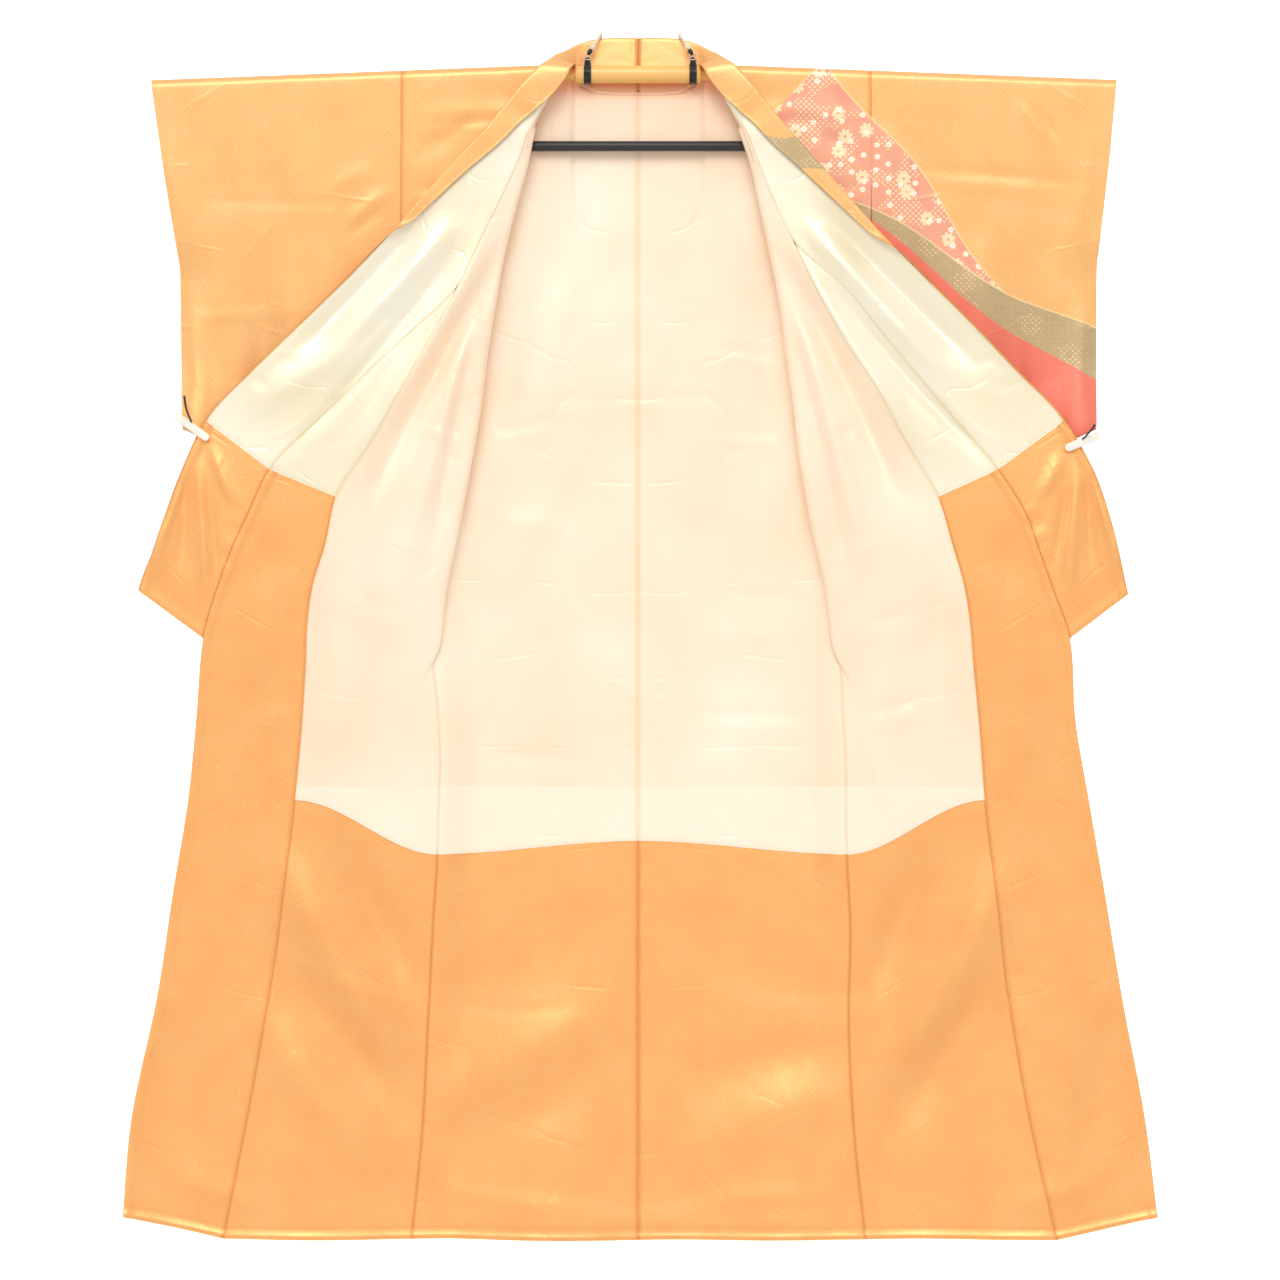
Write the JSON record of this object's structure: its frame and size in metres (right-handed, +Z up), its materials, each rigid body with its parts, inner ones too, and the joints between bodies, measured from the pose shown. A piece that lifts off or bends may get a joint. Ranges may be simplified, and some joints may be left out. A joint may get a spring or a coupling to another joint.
{
  "type": "houmongi kimono on a hanger rod",
  "caption": "Formal visiting kimono hung on a sleeve rod, both fronts clipped open so that the collar, okumi and linings show.",
  "frame": {"origin": "on the hanger rod's axis, midway between its ends", "axes": "+X towards the garment's own left sleeve, -Y out of the open front that is seen, +Z up; the hem hangs down -Z"},
  "size_m": [1.4128, 0.0676, 1.6541],
  "materials": {
    "orange_silk": "satin silk crepe, soft orange",
    "painted_silk": "satin silk crepe, soft orange with a painted shoulder design",
    "cream_lining": "plain silk lining, cream, slight sheen",
    "orange_lining": "satin silk lower lining, orange",
    "rod_tube": "smooth painted tube, amber",
    "black_fitting": "black plastic",
    "white_cord": "white cord and small swivel",
    "white_clip": "white plastic"
  },
  "bodies": {
    "root": {"back_left": "painted_silk", "back_lining_left": "cream_lining", "back_hem_lining_left": "orange_lining", "front_left": "painted_silk", "front_lining_left": "cream_lining", "front_hem_lining_left": "orange_lining", "okumi_left": "painted_silk", "okumi_lining_left": "cream_lining", "okumi_hem_lining_left": "orange_lining", "collar_left": "painted_silk", "collar_lining_left": "cream_lining", "collar_tip_lining_left": "orange_lining", "sleeve_left": "painted_silk", "ring_left": "black_fitting", "collar_hook_left": "white_cord", "sash_link_left": "black_fitting", "clip_left": "white_clip", "clip_lever_left": "black_fitting", "back_right": "orange_silk", "back_lining_right": "cream_lining", "back_hem_lining_right": "orange_lining", "front_right": "orange_silk", "front_lining_right": "cream_lining", "front_hem_lining_right": "orange_lining", "okumi_right": "orange_silk", "okumi_lining_right": "cream_lining", "okumi_hem_lining_right": "orange_lining", "collar_right": "orange_silk", "collar_lining_right": "cream_lining", "collar_tip_lining_right": "orange_lining", "sleeve_right": "orange_silk", "ring_right": "black_fitting", "collar_hook_right": "white_cord", "sash_link_right": "black_fitting", "clip_right": "white_clip", "clip_lever_right": "black_fitting", "hanger_rod": "rod_tube", "sash_bar": "black_fitting"}
  },
  "joints": []
}
